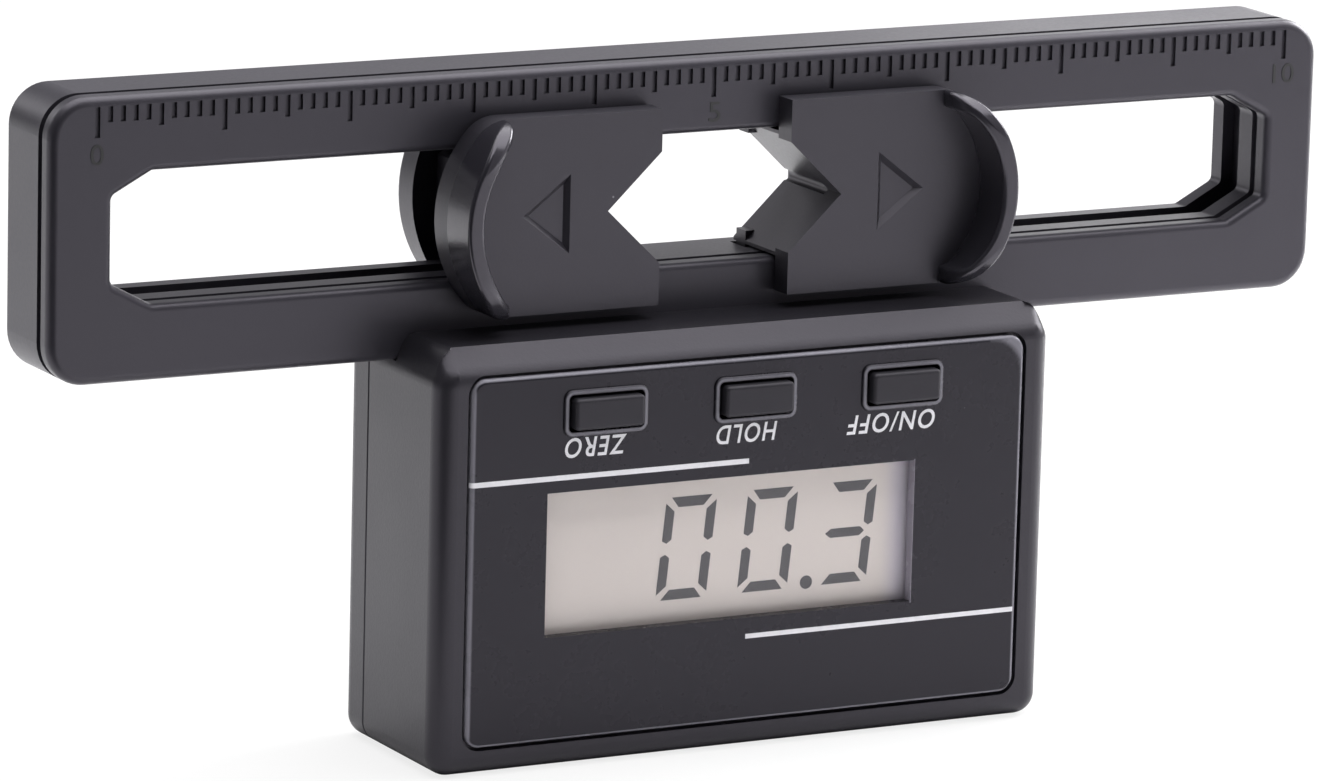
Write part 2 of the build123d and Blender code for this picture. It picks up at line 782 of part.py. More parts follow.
def make_cell():
    """Coin cell: can with a smaller negative cap towards the board."""
    can = rod(0, cell_z, cell_d, cell_y + cell_thick * 0.2, cell_y + cell_thick)
    can = fillet(face_edges(can, cell_y + cell_thick), cell_thick * 0.15)
    return can + rod(0, cell_z, cell_d * 0.88, cell_y, cell_y + cell_thick * 0.2)


def make_cell_holder():
    """Ring on the board round the cell, open at the top for the positive clip."""
    inner = cell_d + 2 * cell_clear
    ring = rod(0, cell_z, inner + 2 * cell_wall, board_rear, cell_y + cell_thick - fit)
    ring -= rod(0, cell_z, inner, board_rear - 1, cell_y + cell_thick)
    half = leaf_width / 2 + fit
    top = cell_z + cell_d
    return ring - block(-half, half, board_rear - 1, cell_y + cell_thick, cell_z + cell_d / 3, top)


def make_positive_clip():
    """Clip from the board over the rim of the cell."""
    half = leaf_width / 2
    bottom = cell_z + cell_d / 2 + 2 * cell_clear
    top_y = cell_y + cell_thick
    clip = block(-half, half, board_rear, top_y + leaf_thick, bottom, bottom + leaf_thick)
    return clip + block(-half, half, top_y, top_y + leaf_thick, bottom - clip_overhang, bottom + leaf_thick)


def make_negative_leaf():
    """Bowed leaf between the board and the cell's cap."""
    half = leaf_span / 2
    crown = half * 0.12
    outer = [(-half, board_rear), (-half, board_rear + leaf_thick), (-crown, cell_y), (crown, cell_y)]
    outer += [(half, board_rear + leaf_thick), (half, board_rear)]
    inner = [(crown, cell_y - leaf_thick), (-crown, cell_y - leaf_thick)]
    face = make_face(Polyline(*outer, *inner, close=True))
    return extrude(Plane.XY.offset(cell_z - leaf_width / 2) * face, leaf_width)


switch_front = board_y - switch_depth
plunger_front = switch_front - plunger_show


def jaw_nodes():
    """Both jaws; the left one is the right one mirrored, with its spring in the upper channel."""
    nodes = {}
    for name, place, spring_side in (("right", lambda s: s, -1), ("left", mirrored, 1)):
        nodes[name + "_jaw_plate"] = place(make_jaw_plate())
        nodes[name + "_slider"] = place(make_slider(spring_side))
        nodes[name + "_rear_plate"] = place(make_rear_plate())
        nodes[name + "_jaw_screws"] = [place(s) for s in make_jaw_screws()]
    nodes["right_return_spring"] = make_spring(spring_start, -spring_anchor_x, -spring_level)
    nodes["left_return_spring"] = make_spring(-spring_start, spring_anchor_x, spring_level)
    return nodes


def key_nodes():
    nodes = {}
    for name, x in key_places.items():
        nodes[name + "_key"] = make_key(x)
        nodes[name + "_plunger"] = make_plunger(x)
        nodes[name + "_switch"] = make_switch(x)
    return nodes


def all_nodes():
    nodes = {
        "rail_cover": make_rail_cover(),
        "rail_frame": make_rail_frame(),
        "rail_back": make_rail_back(),
        "rail_back_screws": make_back_screws(),
        "front_case": make_front_case(),
        "rear_cover": make_rear_cover(),
        "battery_door": make_battery_door(),
        "case_screws": make_case_screws(),
        "front_panel": make_panel(),
        "display_window": slab(lens_outline(), panel_rear, lens_rear),
        "lcd_glass": slab(lens_outline(), lens_rear, glass_rear),
        "lcd_holder": make_holder(),
        "upper_contact_strip": make_strip(1),
        "lower_contact_strip": make_strip(-1),
        "circuit_board": make_board(),
        "board_screws": make_board_screws(),
        "controller_chip": make_chip(),
        "tilt_sensor": make_sensor(),
        "crystal": make_crystal(),
        "coin_cell": make_cell(),
        "cell_holder": make_cell_holder(),
        "positive_clip": make_positive_clip(),
        "negative_leaf": make_negative_leaf(),
    }
    return nodes | jaw_nodes() | key_nodes()


for node, shape in all_nodes().items():
    if isinstance(shape, list):
        shape = Compound(children=shape)
    export_step(shape, f"parts/{node}.step")
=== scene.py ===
# %% [markdown]
# # A pocket pitch gauge, dressed for its photograph
#
# The real thing is a slotted plastic rail with two spring-loaded V jaws, and a
# small readout case under it with a display and three rubber keys. Its solids
# come from CAD and never move here. This lesson gives them their finishes, and
# adds what CAD leaves out: print, display segments, wound springs and light.
#
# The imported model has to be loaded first, because every later piece is placed
# against it. The box that is measured now is the CAD box.

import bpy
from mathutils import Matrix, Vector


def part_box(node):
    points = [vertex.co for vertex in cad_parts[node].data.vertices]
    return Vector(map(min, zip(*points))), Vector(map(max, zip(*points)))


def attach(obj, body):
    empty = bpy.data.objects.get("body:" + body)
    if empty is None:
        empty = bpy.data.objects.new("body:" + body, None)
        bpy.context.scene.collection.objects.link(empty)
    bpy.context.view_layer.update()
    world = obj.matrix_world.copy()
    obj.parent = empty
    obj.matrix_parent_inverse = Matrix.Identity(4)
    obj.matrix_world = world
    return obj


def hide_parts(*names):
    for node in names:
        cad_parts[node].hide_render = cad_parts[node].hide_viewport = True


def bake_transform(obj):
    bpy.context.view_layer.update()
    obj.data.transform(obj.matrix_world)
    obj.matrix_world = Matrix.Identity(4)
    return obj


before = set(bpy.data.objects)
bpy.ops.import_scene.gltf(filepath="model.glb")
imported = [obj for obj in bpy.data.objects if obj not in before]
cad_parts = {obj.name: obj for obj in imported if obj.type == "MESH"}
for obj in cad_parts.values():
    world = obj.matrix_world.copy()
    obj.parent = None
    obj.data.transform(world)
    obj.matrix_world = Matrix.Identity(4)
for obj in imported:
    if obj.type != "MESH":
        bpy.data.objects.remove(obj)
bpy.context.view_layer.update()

# %% [markdown]
# ## Tools of the trade
#
# Sizes are kept in millimetres, as on a drawing, and turned to metres when a
# mesh is made. Blender can wire nodes by hand or from Python. Python wins here,
# because a material then reads like a sum. The small class below wraps one
# output socket: arithmetic on it adds Math nodes, and one method adds any
# other node, first its settings and then its sockets.

# %% Units and sockets
import math

import bmesh
import bpy
from mathutils import Matrix, Vector

MM = 0.001


class Socket:
    """One output of a node tree. Arithmetic on it adds Math nodes."""

    def __init__(self, tree, output=None):
        self.tree = tree
        self.output = output

    def node(self, kind, settings=None, sockets=None, output=0):
        """Adds a node: settings first, then values or links for its sockets."""
        made = self.tree.nodes.new(kind)
        for name, value in (settings or {}).items():
            if name == "stops":
                self.set_stops(made.color_ramp, value)
            else:
                setattr(made, name, value)
        for key, value in (sockets or {}).items():
            if isinstance(value, Socket):
                self.tree.links.new(value.output, made.inputs[key])
            else:
                made.inputs[key].default_value = value
        return Socket(self.tree, made.outputs[output]) if made.outputs else None

    @staticmethod
    def set_stops(ramp, stops):
        """Gives a ramp its stops, as pairs of position and grey level."""
        while len(ramp.elements) < len(stops):
            ramp.elements.new(1.0)
        for element, (position, level) in zip(ramp.elements, stops):
            element.position = position
            element.color = (level, level, level, 1.0)

    def maths(self, operation, *values):
        return self.node("ShaderNodeMath", {"operation": operation}, dict(enumerate(values)))

    def __add__(self, other):
        return self.maths("ADD", self, other)

    def __sub__(self, other):
        return self.maths("SUBTRACT", self, other)

    def __rsub__(self, other):
        return self.maths("SUBTRACT", other, self)

    def __mul__(self, other):
        return self.maths("MULTIPLY", self, other)

    def __gt__(self, other):
        return self.maths("GREATER_THAN", self, other)

    def __lt__(self, other):
        return self.maths("LESS_THAN", self, other)

    __radd__ = __add__
    __rmul__ = __mul__


print("camera side of the object: -Y, with +X to the right")

# %% [markdown]
# ## Noise, dust and mixing
#
# Every finish below is built from the same few ideas. Noise at two scales gives
# the fine grain of a moulded wall and the slow drift of its colour. Cells with
# a dot in a few of them give dust. Colours are mixed by a Mix node, because a
# Math node would turn them grey.

# %% Shared patterns
def mixed(factor, first, second):
    """Colour mix from first to second."""
    return factor.node("ShaderNodeMix", {"data_type": "RGBA"}, {0: factor, 6: first, 7: second}, 2)


def noise(place, per_mm, detail=2.0, roughness=0.5):
    """Noise with so many features per millimetre."""
    sockets = {"Vector": place, "Scale": per_mm / MM, "Detail": detail, "Roughness": roughness}
    return place.node("ShaderNodeTexNoise", {}, sockets)


def dust(place, per_mm, share, radius):
    """Round specks: a dot in a share of the cells of a grid."""
    cells = {"Vector": place, "Scale": per_mm / MM}
    near = place.node("ShaderNodeTexVoronoi", {"feature": "F1"}, cells)
    tint = place.node("ShaderNodeTexVoronoi", {"feature": "F1"}, cells, 1)
    picked = tint.node("ShaderNodeSeparateColor", {}, {0: tint}) > 1.0 - share
    return picked * (near < radius)


def rgba(red, green, blue):
    return (red, green, blue, 1.0)


def scaled(colour, gain):
    """The same colour, lighter or darker."""
    return rgba(*(channel * gain for channel in colour[:3]))


class Finish:
    """A material with its shader; constants go on the shader's own sockets."""

    def __init__(self, name, **constants):
        self.material = bpy.data.materials.new(name)
        self.material.use_nodes = True
        self.tree = self.material.node_tree
        self.shader = self.tree.nodes["Principled BSDF"]
        for key, value in constants.items():
            self.shader.inputs[key.replace("_", " ")].default_value = value
        self.place = Socket(self.tree).node("ShaderNodeTexCoord", {}, {}, 3)

    def feed(self, name, signal):
        self.tree.links.new(signal.output, self.shader.inputs[name])

    def bump(self, height, strength, distance):
        sockets = {"Strength": strength, "Distance": distance * MM, "Height": height}
        self.feed("Normal", height.node("ShaderNodeBump", {}, sockets))


DUST_GREY = rgba(0.2, 0.2, 0.21)
POLISH = 0.18


def moulded(name, colour, roughness, grain_per_mm, grain_depth, dusty=0.03, drift=0.2,
            glossy_before=None, **constants):
    """Moulded plastic: fine grain, slow drift in colour and sheen, and a little dust.

    What stands in front of the plane y = glossy_before, in millimetres, is polished.
    """
    made = Finish(name, **constants)
    cloud = noise(made.place, 0.09, 3.0)
    grain = noise(made.place, grain_per_mm, 3.0, 0.6)
    specks = dust(made.place, 0.55, dusty, 0.05)
    tone = mixed(cloud, scaled(colour, 1 - drift), scaled(colour, 1 + drift))
    tone = mixed(specks, tone, DUST_GREY)
    made.feed("Base Color", tone)
    rough = roughness + (cloud - 0.5) * 0.12 + (grain - 0.5) * 0.1
    if glossy_before is not None:
        forward = made.place.node("ShaderNodeSeparateXYZ", {}, {0: made.place}, 1)
        rough = rough - (forward < glossy_before * MM) * POLISH
    made.feed("Roughness", rough)
    made.bump(grain, 0.5, grain_depth)
    return made.material


# %% [markdown]
# ## The finishes
#
# The rail, the case and the jaws are three mouldings of the same near-black
# plastic. Their own colour is very dark; most of what the eye sees on them is a
# soft gloss. So each gets a dark base, a middling roughness and a faintly
# violet sheen of its own strength, and the light does the rest. The jaws' thumb
# lips stand furthest forward and are worn smoother by fingers. The keys are
# matt rubber.

# %% Plastics and rubber
DARK = rgba(0.028, 0.0265, 0.0335)
KEY_DARK = rgba(0.014, 0.0136, 0.0165)
LIP_Y = -2.4


def sheen(strength):
    """Shader constants for a faintly violet gloss."""
    return {"Specular_Tint": rgba(0.93, 0.88, 1.0), "Specular_IOR_Level": strength}


rail_plastic = moulded("rail plastic", DARK, 0.4, 3.2, 0.012, **sheen(0.56))
case_plastic = moulded("case plastic", scaled(DARK, 0.55), 0.38, 4.0, 0.02, **sheen(0.46))
jaw_plastic = moulded("jaw plastic", scaled(DARK, 0.75), 0.4, 3.6, 0.014, glossy_before=LIP_Y, **sheen(0.62))
key_rubber = moulded("key rubber", KEY_DARK, 0.5, 5.0, 0.015, dusty=0.06, **sheen(0.4))
chip_black = moulded("chip black", rgba(0.02, 0.02, 0.021), 0.5, 6.0, 0.01)
white_plastic = moulded("white plastic", rgba(0.72, 0.72, 0.7), 0.45, 3.0, 0.01, dusty=0.0)
plastics = (rail_plastic, case_plastic, jaw_plastic, key_rubber, chip_black, white_plastic)
print("plastics made:", ", ".join(material.name for material in plastics))

# %% [markdown]
# ## The panel's painted edge highlights
#
# The panel is a dark print under a clear skin. At the panel's outline and round
# each key, the edge catches light; that light is painted into the colour as a
# fine pale line, a painted highlight. The distance to a rounded rectangle, worked
# out from object coordinates, tells the finish how near the edge it is. The
# painted line widens in the upper right corner: there a second outline with a
# larger radius leaves more of the corner outside. The right wall of the display
# window is painted pale lavender, a painted highlight of the light it faces.

# %% Panel finish
PANEL_LOW, PANEL_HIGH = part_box("front_panel")
PANEL_R = 1.2
PANEL_SQUEEZE = 1.5
WIDE_R = 2.8
WIDE_REACH = 3
KEY_HALF_X = 3.1
KEY_HALF_Z = 1.4
KEY_R = 0.35
WINDOW_RIGHT = 14.005
WINDOW_LOW = 9.9
WINDOW_HIGH = 21.0
EDGE_HIGHLIGHT_PAINT = rgba(0.2, 0.195, 0.225)
KEY_HIGHLIGHT_PAINT = rgba(0.17, 0.166, 0.19)
WALL_HIGHLIGHT_PAINT = rgba(0.3, 0.28, 0.33)


def outline_distance(across, height, x, z, half_x, half_z, radius, squeeze=1.0):
    """Signed distance in metres to a rounded rectangle; sizes in millimetres.

    With a squeeze above 1 the corners are flatter and heights count for more.
    """
    side = (across - x * MM).maths("ABSOLUTE", across - x * MM) - (half_x - radius) * MM
    rise = (height - z * MM).maths("ABSOLUTE", height - z * MM) - (half_z - radius / squeeze) * MM
    rise = rise * squeeze
    out_x = side.maths("MAXIMUM", side, 0.0)
    out_z = rise.maths("MAXIMUM", rise, 0.0)
    length = side.maths("SQRT", out_x * out_x + out_z * out_z)
    inside = side.maths("MINIMUM", side.maths("MAXIMUM", side, rise), 0.0)
    return length + inside - radius * MM


def ramp_up(signal, low, high):
    """0 below low, 1 above high, smooth between; limits in millimetres."""
    span = {"Value": signal, "From Min": low * MM, "From Max": high * MM}
    return signal.node("ShaderNodeMapRange", {"interpolation_type": "SMOOTHSTEP"}, span)


def painted_edge_highlight(across, height):
    """1 where the panel's edge highlight is painted, wider in the upper right corner."""
    mid_x = (PANEL_LOW.x + PANEL_HIGH.x) / 2 / MM
    mid_z = (PANEL_LOW.z + PANEL_HIGH.z) / 2 / MM
    half_x = (PANEL_HIGH.x - PANEL_LOW.x) / 2 / MM
    half_z = (PANEL_HIGH.z - PANEL_LOW.z) / 2 / MM
    edge = outline_distance(across, height, mid_x, mid_z, half_x, half_z, PANEL_R, PANEL_SQUEEZE)
    edge = ramp_up(edge, -0.4, -0.2)
    wide = ramp_up(outline_distance(across, height, mid_x, mid_z, half_x, half_z, WIDE_R), -0.5, 0.1)
    wide = wide * (across > (mid_x + half_x - WIDE_REACH) * MM)
    wide = wide * (height > (mid_z + half_z - WIDE_REACH) * MM)
    return edge.maths("MAXIMUM", edge, wide)


def painted_key_highlight(across, height, key):
    """1 where a painted highlight rings a key's opening."""
    low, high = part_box(key)
    x = (low.x + high.x) / 2 / MM
    z = (low.z + high.z) / 2 / MM
    away = outline_distance(across, height, x, z, KEY_HALF_X, KEY_HALF_Z, KEY_R)
    return ramp_up(away, 0.0, 0.1) * (1.0 - ramp_up(away, 0.2, 0.36))


def painted_wall_highlight(across, height):
    """1 on the right wall of the display window, where a pale highlight is painted."""
    wall = ramp_up(across, WINDOW_RIGHT - 0.06, WINDOW_RIGHT - 0.02) * (across < (WINDOW_RIGHT + 0.03) * MM)
    return wall * (height > WINDOW_LOW * MM) * (height < WINDOW_HIGH * MM)


def make_panel():
    made = Finish("panel gloss", **sheen(0.31))
    cloud = noise(made.place, 0.09, 3.0)
    grain = noise(made.place, 0.8, 3.0, 0.6)
    specks = dust(made.place, 0.55, 0.05, 0.05)
    across = made.place.node("ShaderNodeSeparateXYZ", {}, {0: made.place}, 0)
    height = made.place.node("ShaderNodeSeparateXYZ", {}, {0: made.place}, 2)
    tone = mixed(cloud, rgba(0.0075, 0.0072, 0.01), rgba(0.0105, 0.01, 0.0135))
    tone = mixed(specks, tone, DUST_GREY)
    # Painted highlight: pale lines on the panel's outline and round each key stand in for the light that
    # their edges catch.
    tone = mixed(painted_edge_highlight(across, height) * (0.5 + cloud * 0.9), tone, EDGE_HIGHLIGHT_PAINT)
    for key in ("zero_key", "hold_key", "power_key"):
        tone = mixed(painted_key_highlight(across, height, key), tone, KEY_HIGHLIGHT_PAINT)
    # Painted highlight: the display window's right wall is coloured pale lavender.
    made.feed("Base Color", mixed(painted_wall_highlight(across, height), tone, WALL_HIGHLIGHT_PAINT))
    made.feed("Roughness", 0.28 + (cloud - 0.5) * 0.12 + (grain - 0.5) * 0.08)
    made.bump(grain, 0.5, 0.004)
    return made.material


panel_gloss = make_panel()
print("panel finish made, outline", round((PANEL_HIGH.x - PANEL_LOW.x) / MM, 2), "mm wide")

# %% [markdown]
# ## Display
#
# A reflective display is a sheet of glass with a pale film behind it. Its last
# millimetres on the right are painted darker, in a cool lavender: a painted
# shadow of the window's right wall, so the film is brightest on the left. A map
# range on the piece's own X turns that into one number, which mixes two colours.

# %% Display finishes
LCD_RIGHT = 14.0 * MM
LCD_PAINTED_SHADOW = 2.2 * MM


def make_lcd():
    made = Finish("display film", Roughness=0.3)
    across = made.place.node("ShaderNodeSeparateXYZ", {}, {0: made.place})
    # Painted shadow: the film darkens to lavender towards its right end, where the window's right wall
    # shades it.
    span = {"Value": across, "From Min": LCD_RIGHT - LCD_PAINTED_SHADOW, "From Max": LCD_RIGHT}
    painted_shadow = across.node("ShaderNodeMapRange", {"interpolation_type": "SMOOTHSTEP"}, span)
    fibres = noise(made.place, 6.0, 2.0)
    cloud = noise(made.place, 0.12)
    film = mixed(cloud, rgba(0.66, 0.595, 0.565), rgba(0.7, 0.63, 0.605))
    film = mixed(fibres * 0.25, film, rgba(0.62, 0.57, 0.55))
    made.feed("Base Color", mixed(painted_shadow, film, rgba(0.6, 0.55, 0.64)))
    made.bump(fibres, 0.2, 0.01)
    return made.material


def make_window():
    made = Finish("window clear", Roughness=0.08, IOR=1.49)
    haze = noise(made.place, 0.3)
    made.feed("Base Color", mixed(haze, rgba(0.9, 0.9, 0.9), rgba(0.95, 0.95, 0.95)))
    made.feed("Alpha", haze * 0.02 + 0.05)
    return made.material


def make_segment():
    made = Finish("display segment", Roughness=0.35)
    uneven = noise(made.place, 0.8, 3.0)
    made.feed("Base Color", mixed(uneven, rgba(0.022, 0.018, 0.027), rgba(0.036, 0.03, 0.042)))
    return made.material


def make_print():
    made = Finish("white print", Roughness=0.45)
    worn = noise(made.place, 2.5, 4.0)
    made.feed("Base Color", mixed(worn, rgba(0.72, 0.71, 0.75), rgba(0.86, 0.85, 0.89)))
    made.bump(worn, 0.3, 0.01)
    return made.material


lcd_film = make_lcd()
window_clear = make_window()
lcd_segment = make_segment()
white_print = make_print()
print("display finishes made")

# %% [markdown]
# ## Metals, board and contact strips
#
# Most of these are hidden until a part is taken off, and are still finished:
# drawn wire, grey screws with turning marks, a solder mask over faint tracks,
# and the fine stripes of an elastomer strip. Only the screws show, from behind.

# %% Hidden finishes
def make_metal(name, colour, roughness, rings_per_mm):
    made = Finish(name, Metallic=1.0)
    turning = made.place.node("ShaderNodeTexWave", {"wave_type": "RINGS", "rings_direction": "Y"},
                              {"Vector": made.place, "Scale": rings_per_mm / MM, "Distortion": 1.5})
    stain = noise(made.place, 0.8, 4.0)
    made.feed("Base Color", mixed(stain, scaled(colour, 0.8), colour))
    made.feed("Roughness", roughness + turning * 0.12)
    made.bump(turning, 0.15, 0.01)
    return made.material


def make_board():
    made = Finish("board green", Roughness=0.35)
    tracks = made.place.node("ShaderNodeTexBrick", {"offset": 0.37},
                             {"Vector": made.place, "Scale": 0.35 / MM, "Mortar Size": 0.03}, 1)
    speck = noise(made.place, 3.0)
    mask = mixed(tracks, rgba(0.02, 0.12, 0.05), rgba(0.03, 0.2, 0.085))
    made.feed("Base Color", mixed(speck * 0.2, mask, rgba(0.01, 0.07, 0.03)))
    made.bump(tracks, 0.3, 0.03)
    return made.material


def make_strip():
    made = Finish("contact strip", Roughness=0.6)
    bands = made.place.node("ShaderNodeTexWave", {"wave_type": "BANDS", "bands_direction": "X"},
                            {"Vector": made.place, "Scale": 1.2 / MM})
    made.feed("Base Color", mixed(bands, rgba(0.03, 0.03, 0.03), rgba(0.55, 0.55, 0.57)))
    return made.material


screw_steel = make_metal("screw steel", rgba(0.3, 0.3, 0.32), 0.35, 1.5)
spring_steel = make_metal("spring steel", rgba(0.6, 0.6, 0.62), 0.25, 2.5)
can_steel = make_metal("can steel", rgba(0.66, 0.66, 0.68), 0.28, 0.9)
board_green = make_board()
strip_rubber = make_strip()
print("hidden finishes made")

# %% [markdown]
# ## Dressing the CAD solids
#
# A CAD mesh may not change, but its material slots may. One table says which
# finish each solid wears, and a solid that is missing from it would stop the
# script.

# %% Give each solid its finish
FINISH_OF = {
    rail_plastic: ["rail_cover", "rail_frame", "rail_back"],
    case_plastic: ["front_case", "rear_cover", "battery_door"],
    jaw_plastic: [f"{side}_{part}" for side in ("left", "right")
                  for part in ("jaw_plate", "slider", "rear_plate")],
    panel_gloss: ["front_panel"],
    key_rubber: ["zero_key", "hold_key", "power_key"],
    window_clear: ["display_window"],
    lcd_film: ["lcd_glass"],
    white_plastic: ["lcd_holder", "zero_plunger", "hold_plunger", "power_plunger"],
    strip_rubber: ["upper_contact_strip", "lower_contact_strip"],
    board_green: ["circuit_board"],
    chip_black: ["controller_chip", "tilt_sensor", "cell_holder",
                 "zero_switch", "hold_switch", "power_switch"],
    screw_steel: ["rail_back_screws", "case_screws", "board_screws",
                  "left_jaw_screws", "right_jaw_screws"],
    spring_steel: ["positive_clip", "negative_leaf", "left_return_spring", "right_return_spring"],
    can_steel: ["coin_cell", "crystal"],
}
wearing = {node: finish for finish, nodes in FINISH_OF.items() for node in nodes}
for name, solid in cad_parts.items():
    solid.data.materials.clear()
    solid.data.materials.append(wearing[name])
print("solids dressed:", len(wearing))

# %% [markdown]
# ## The case's brow
#
# In the photograph the case rises a little higher in front of the rail than its
# solid does. The front shell is therefore drawn again from its own mesh: what
# lies above the panel's recess is stretched upwards, and the rounding over the
# display becomes a bevel. Everything below it stays where it was. Vertices on
# the old rounding are moved by their share of its depth at their own height.

# %% Raise the top of the front shell
RECESS_TOP = 30.1
SOLID_TOP = 30.9
TRUE_TOP = 32.0
ROUND_R = 1.5
ROUND_Y = -6.3
ROUND_Z = 29.4
BEVEL_FROM = -7.72
BEVEL_RUN = 1.85
SLACK = 0.01
LEAST_DEPTH = 0.05
SHARP_ABOVE = math.radians(30)


def raised_front():
    """The front shell with its rounding from ROUND_Y forwards made into a bevel."""
    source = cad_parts["front_case"].data
    bm = bmesh.new()
    bm.from_mesh(source)
    for corner in bm.verts:
        y, z = corner.co.y / MM, corner.co.z / MM
        share = (z - RECESS_TOP) / (SOLID_TOP - RECESS_TOP)
        if share <= 0:
            continue
        corner.co.z = (RECESS_TOP + (TRUE_TOP - RECESS_TOP) * share) * MM
        if y < ROUND_Y + SLACK:
            depth = math.sqrt(max(ROUND_R ** 2 - (z - ROUND_Z) ** 2, 0))
            part = min((ROUND_Y - y) / depth, 1) if depth > LEAST_DEPTH else 1
            corner.co.y = (ROUND_Y + part * (BEVEL_FROM + BEVEL_RUN * share - ROUND_Y)) * MM
    mesh = bpy.data.meshes.new("front_case_raised")
    bm.to_mesh(mesh)
    bm.free()
    mesh.shade_smooth()
    mesh.set_sharp_from_angle(angle=SHARP_ABOVE)
    mesh.materials.append(case_plastic)
    made = bpy.data.objects.new("front_case_raised", mesh)
    bpy.context.scene.collection.objects.link(made)
    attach(made, "gauge")
    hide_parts("front_case")
    print("front_case_raised faces:", len(mesh.polygons))


raised_front()

# %% [markdown]
# ## Thin prints as real solids
#
# Print, display segments and numerals are very thin closed solids that stand a
# few hundredths of a millimetre proud. Flat faces would fight with the surface
# under them, and a bump would vanish in the exported mesh. The outline is drawn
# in X and Z, given a thickness in Y, and its object stays at the origin.

# %% Helpers for flat pieces
def piece(name, mesh, body, material):
    """Finished piece at the origin, riding on a body."""
    mesh.materials.clear()
    mesh.materials.append(material)
    made = bpy.data.objects.new(name, mesh)
    bpy.context.scene.collection.objects.link(made)
    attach(made, body)
    print(name, "faces:", len(mesh.polygons))


def plates(name, outlines, front, rear):
    """Mesh of flat closed prisms from outlines in X and Z, all in millimetres."""
    bm = bmesh.new()
    for outline in outlines:
        corners = [bm.verts.new((x * MM, rear * MM, z * MM)) for x, z in outline]
        face = bm.faces.new(corners)
        lifted = bmesh.ops.extrude_face_region(bm, geom=[face])["geom"]
        moved = [v for v in lifted if isinstance(v, bmesh.types.BMVert)]
        bmesh.ops.translate(bm, verts=moved, vec=(0, (front - rear) * MM, 0))
    bmesh.ops.recalc_face_normals(bm, faces=bm.faces)
    mesh = bpy.data.meshes.new(name)
    bm.to_mesh(mesh)
    bm.free()
    return mesh


# %% [markdown]
# ## Display digits
#
# Each digit is seven bars that lean to the right. Their ends are mitred, so a
# thin pale line stays between neighbours. One drawing of a digit is enough: the
# bars are listed once in an upright cell, then leaned and moved to each place.
# The decimal point is a disc, given by its X, its Z and its radius.

# %% Digits on the glass
CELL_W = 4.25
CELL_H = 7.8
BAR = 0.77
BASE_Z = 11.6
LEAN = 0.1
GLASS_Y = -6.55
INK = 0.02
SHOWN = {-7.05: "abcdef", -0.17: "abcdef", 6.6: "abcdg"}
POINT = (5.73, 11.92, 0.52)


def bar_outlines():
    """The seven bars in an upright cell, from its lower left corner."""
    w, h, t = CELL_W, CELL_H, BAR
    gap = 0.42
    mid = h / 2
    top = [(gap, h), (w - gap, h), (w - gap - t * 0.85, h - t), (gap + t * 0.85, h - t)]
    upper_left = [(0, h - gap), (t, h - gap - t * 0.85), (t, mid + 0.7),
                  (t * 0.5, mid + 0.42), (0, mid + 0.62)]
    centre = [(gap * 0.6, mid), (gap + t * 0.4, mid + t * 0.45), (w - gap - t * 0.8, mid + t * 0.45),
              (w - gap - t * 0.3, mid), (w - gap - t * 0.8, mid - t * 0.45), (gap + t * 0.4, mid - t * 0.45)]

    def flip_x(shape):
        return [(w - x, z) for x, z in shape]

    def flip_z(shape):
        return [(x, h - z) for x, z in shape]

    upper_right = flip_x(upper_left)
    return {"a": top, "b": upper_right, "c": flip_z(upper_right), "d": flip_z(top),
            "e": flip_z(upper_left), "f": upper_left, "g": centre}


def digit(left, shown):
    """Leaned outlines of one digit whose cell's lower left corner is at left."""
    bars = bar_outlines()
    return [[(left + x + LEAN * z, BASE_Z + z) for x, z in bars[name]] for name in shown]


def disc(x, z, radius, count=20):
    steps = [2 * math.pi * i / count for i in range(count)]
    return [(x + radius * math.cos(s), z + radius * math.sin(s)) for s in steps]


digits = [bar for left, shown in SHOWN.items() for bar in digit(left, shown)]
digits.append(disc(*POINT))
piece("lcd_digits", plates("lcd_digits", digits, GLASS_Y - INK, GLASS_Y + INK),
      "gauge", lcd_segment)

# %% [markdown]
# ## White lines on the panel
#
# Two fine lines are printed on the panel. The upper one runs off its left edge,
# so it follows the rounded edge down. It is a strip along a short path, which
# is a row of prisms' worth of faces made by hand.

# %% Printed lines
RIM_HEIGHT = 0.22
PANEL_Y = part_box("front_panel")[0].y / MM + RIM_HEIGHT
EDGE_R = 0.35
EDGE_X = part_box("front_panel")[0].x / MM
EDGE_STEPS = 8


def ribbon(name, path, z0, z1):
    """Thin closed strip: path gives (x, y, outward x, outward y) along its length."""
    bm = bmesh.new()
    rings = []
    for x, y, nx, ny in path:
        out = (x + nx * INK, y + ny * INK)
        inn = (x - nx * INK, y - ny * INK)
        rings.append([bm.verts.new((px * MM, py * MM, pz * MM))
                      for (px, py), pz in ((out, z0), (out, z1), (inn, z1), (inn, z0))])
    for here, there in zip(rings, rings[1:]):
        for i in range(4):
            bm.faces.new((here[i], here[(i + 1) % 4], there[(i + 1) % 4], there[i]))
    bm.faces.new(rings[0])
    bm.faces.new(rings[-1])
    bmesh.ops.recalc_face_normals(bm, faces=bm.faces)
    mesh = bpy.data.meshes.new(name)
    bm.to_mesh(mesh)
    bm.free()
    return mesh


def rounded_end(turn):
    """Point of the panel's left edge rounding, and its outward direction."""
    out_x, out_y = -math.sin(turn), -math.cos(turn)
    return EDGE_X + EDGE_R * (1 + out_x), PANEL_Y + EDGE_R * (1 + out_y), out_x, out_y


